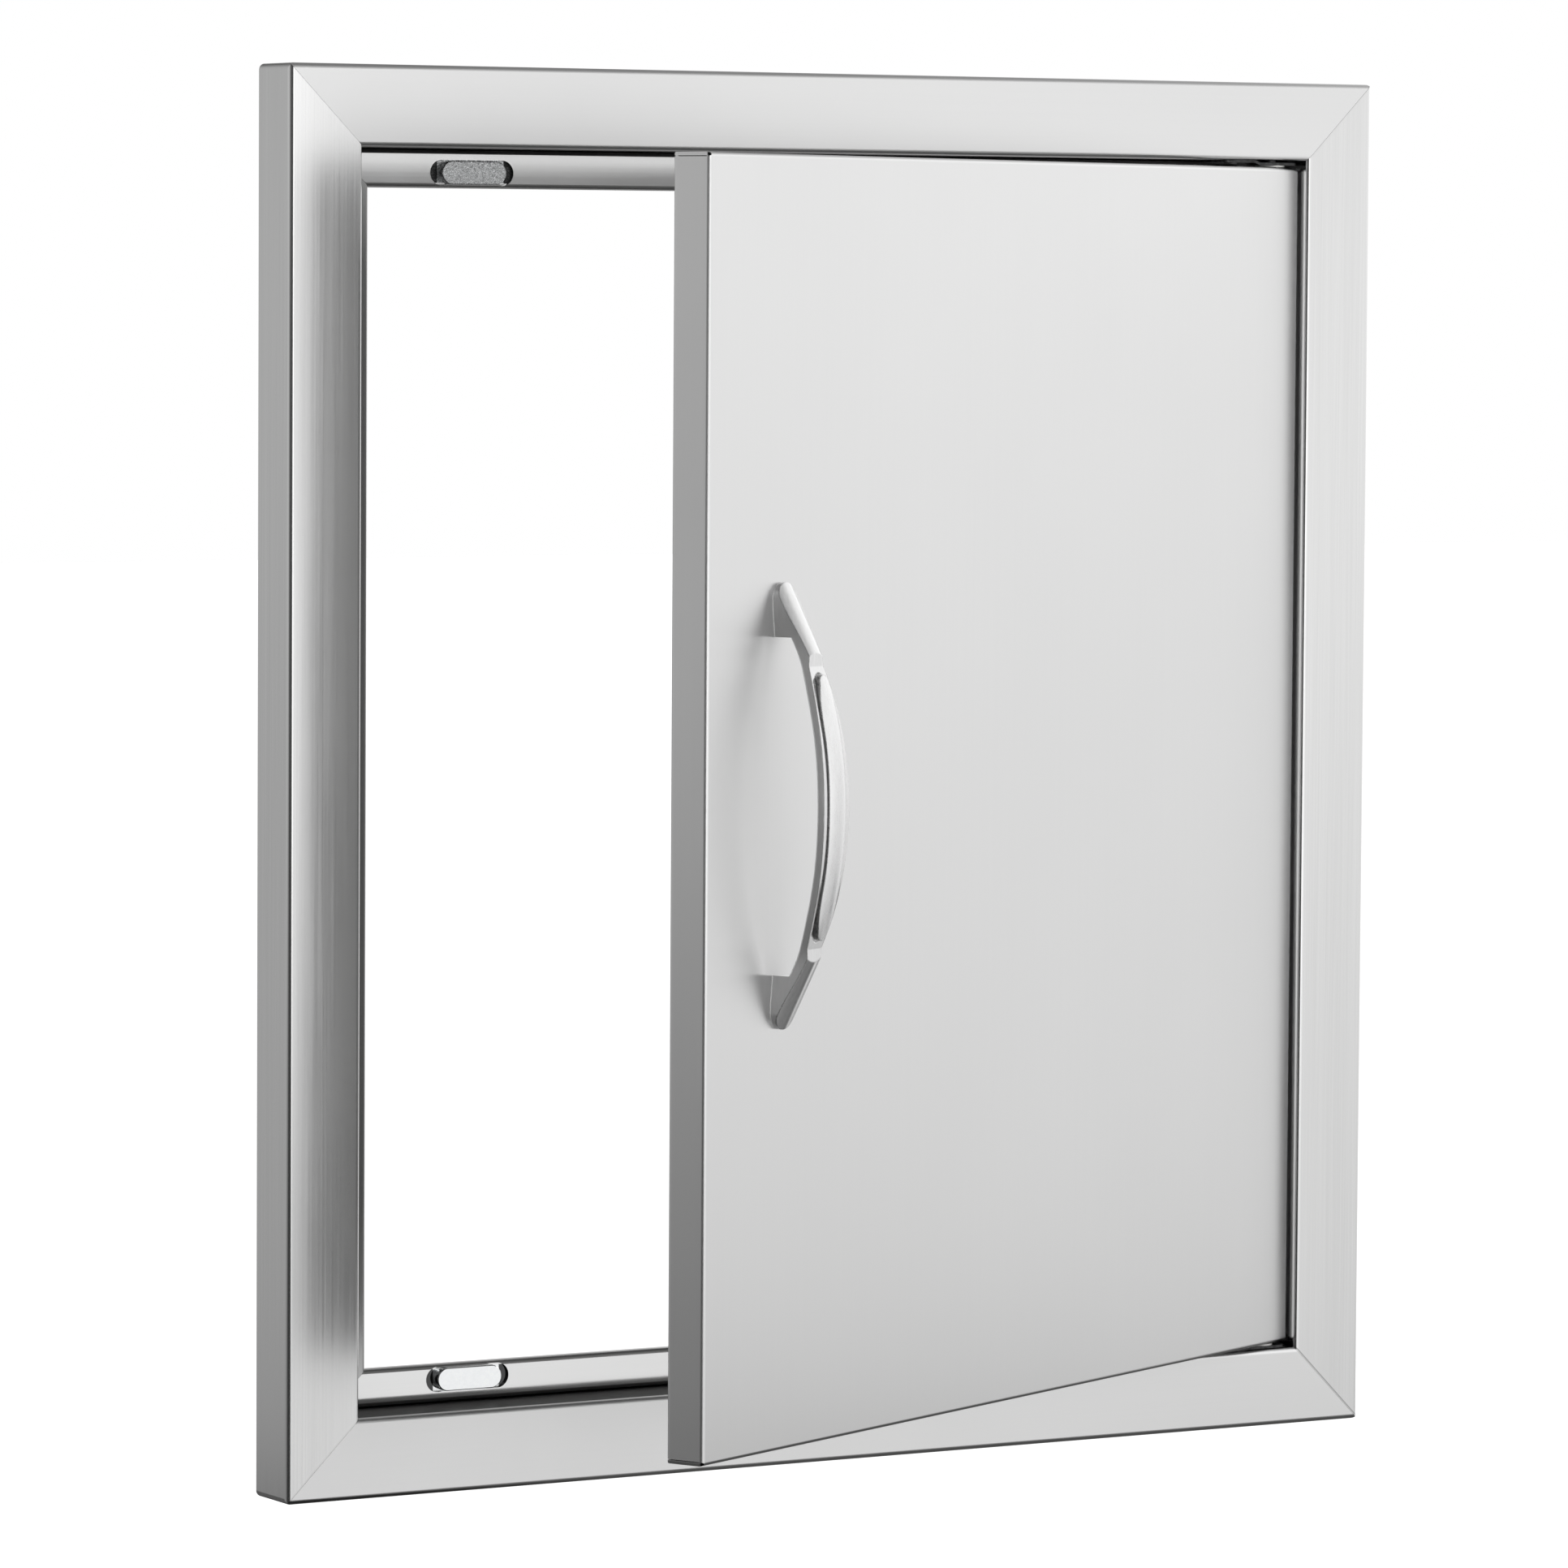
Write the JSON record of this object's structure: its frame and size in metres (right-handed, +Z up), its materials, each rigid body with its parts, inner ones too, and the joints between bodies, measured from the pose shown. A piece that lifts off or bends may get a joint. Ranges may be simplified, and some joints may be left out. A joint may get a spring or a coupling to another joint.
{
  "type": "access door",
  "caption": "Stainless access door for an outdoor kitchen island: lined door pan on pivot pins with an arched pull, magnetic catches and a raised, mitred trim frame.",
  "frame": {"origin": "middle of the door opening, in the plane where the raised trim's back edge bears on the island's face", "axes": "+X to the right seen from the front, where the hinges are; +Y into the island; +Z up"},
  "size_m": [0.4572, 0.2283, 0.508],
  "materials": {
    "brushed_stainless": "brushed",
    "polished_stainless": "polished, slightly satin",
    "satin_inlay": "satin",
    "zinc_plated": "zinc plated",
    "fastener_steel": "plain",
    "ferrite": "sintered, matt",
    "nylon": "moulded, matt"
  },
  "bodies": {
    "frame": {"catch_housing_bottom": "zinc_plated", "catch_housing_top": "zinc_plated", "catch_magnet_bottom": "ferrite", "catch_magnet_top": "ferrite", "frame_bottom_rail": "brushed_stainless", "frame_left_stile": "brushed_stainless", "frame_right_stile": "brushed_stainless", "frame_top_rail": "brushed_stainless", "pivot_pin_bottom": "fastener_steel", "pivot_pin_top": "fastener_steel", "pivot_plate_bottom": "zinc_plated", "pivot_plate_rivets": "fastener_steel", "pivot_plate_top": "zinc_plated", "pivot_washer_bottom": "nylon", "pivot_washer_top": "nylon", "stop_bottom": "brushed_stainless", "stop_left": "brushed_stainless", "stop_right": "brushed_stainless", "stop_top": "brushed_stainless"},
    "door": {"door_liner": "brushed_stainless", "door_skin": "brushed_stainless", "door_stiffener": "zinc_plated", "handle_backing_strip": "zinc_plated", "handle_bow": "polished_stainless", "handle_inlay": "satin_inlay", "handle_screws": "fastener_steel", "handle_washers": "zinc_plated", "pivot_bush_bottom": "nylon", "pivot_bush_top": "nylon", "pivot_channel_bottom": "zinc_plated", "pivot_channel_top": "zinc_plated", "strike_bottom": "zinc_plated", "strike_rivets": "fastener_steel", "strike_top": "zinc_plated"}
  },
  "joints": [
    {"name": "door_hinge", "type": "hinge", "parent": "frame", "child": "door", "pos_m": [0.1872, -0.017, 0], "axis": [0, 0, 1], "range_deg": [-26, 89]}
  ]
}
